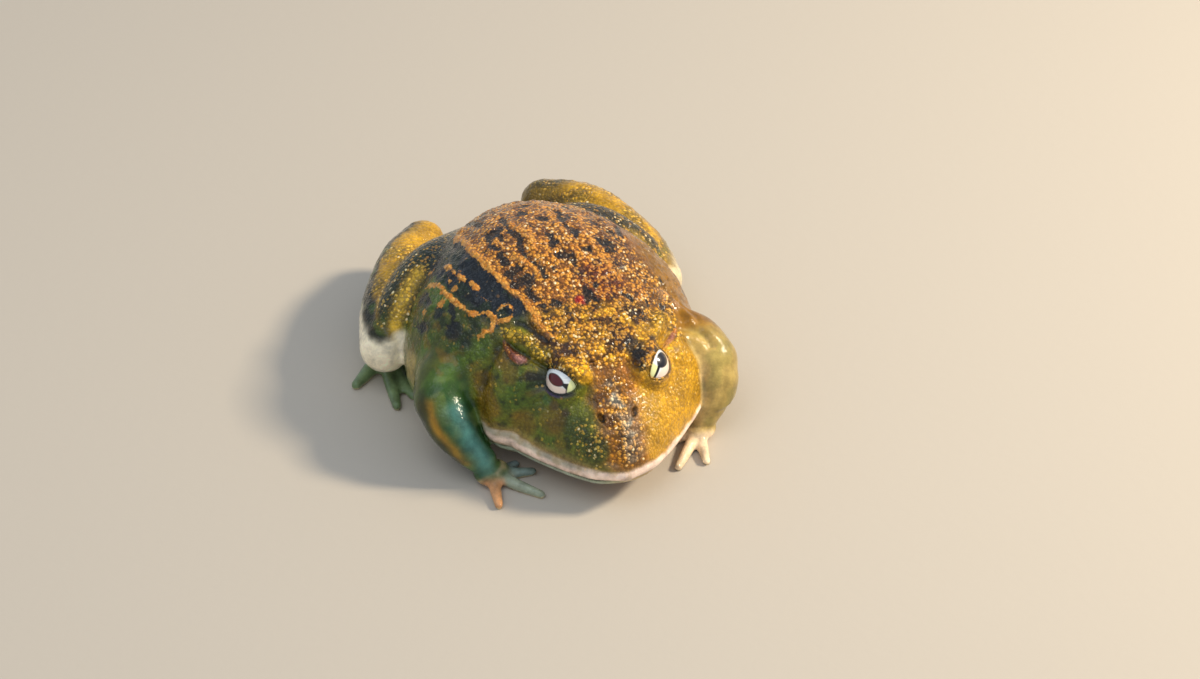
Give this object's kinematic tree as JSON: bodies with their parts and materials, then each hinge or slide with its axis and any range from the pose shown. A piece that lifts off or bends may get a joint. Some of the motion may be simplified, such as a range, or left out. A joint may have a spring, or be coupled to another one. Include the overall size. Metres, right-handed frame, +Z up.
{
  "type": "African bullfrog",
  "caption": "Life-size still model of a crouched African bullfrog: broad head, heavy trunk, folded limbs, resting on its belly, palms and soles.",
  "frame": {"origin": "on the floor, under the middle of the animal's outline seen from above", "axes": "the animal faces -Y, its left side is +X, and +Z is up"},
  "size_m": [0.1186, 0.1412, 0.0555],
  "materials": {
    "skin": "wet, warty olive and ochre frog skin with dark blotches and long golden ridges",
    "eye": "clear wet cornea over a pale golden iris with a dark level pupil"
  },
  "bodies": {
    "root": {"trunk": "skin", "head": "skin", "lower_jaw": "skin", "eye_right": "eye", "eye_left": "eye", "eardrum_right": "skin", "eardrum_left": "skin", "upper_arm_right": "skin", "upper_arm_left": "skin", "forearm_right": "skin", "forearm_left": "skin", "hand_right": "skin", "hand_left": "skin", "thigh_right": "skin", "thigh_left": "skin", "shank_right": "skin", "shank_left": "skin", "foot_right": "skin", "foot_left": "skin"}
  },
  "joints": []
}
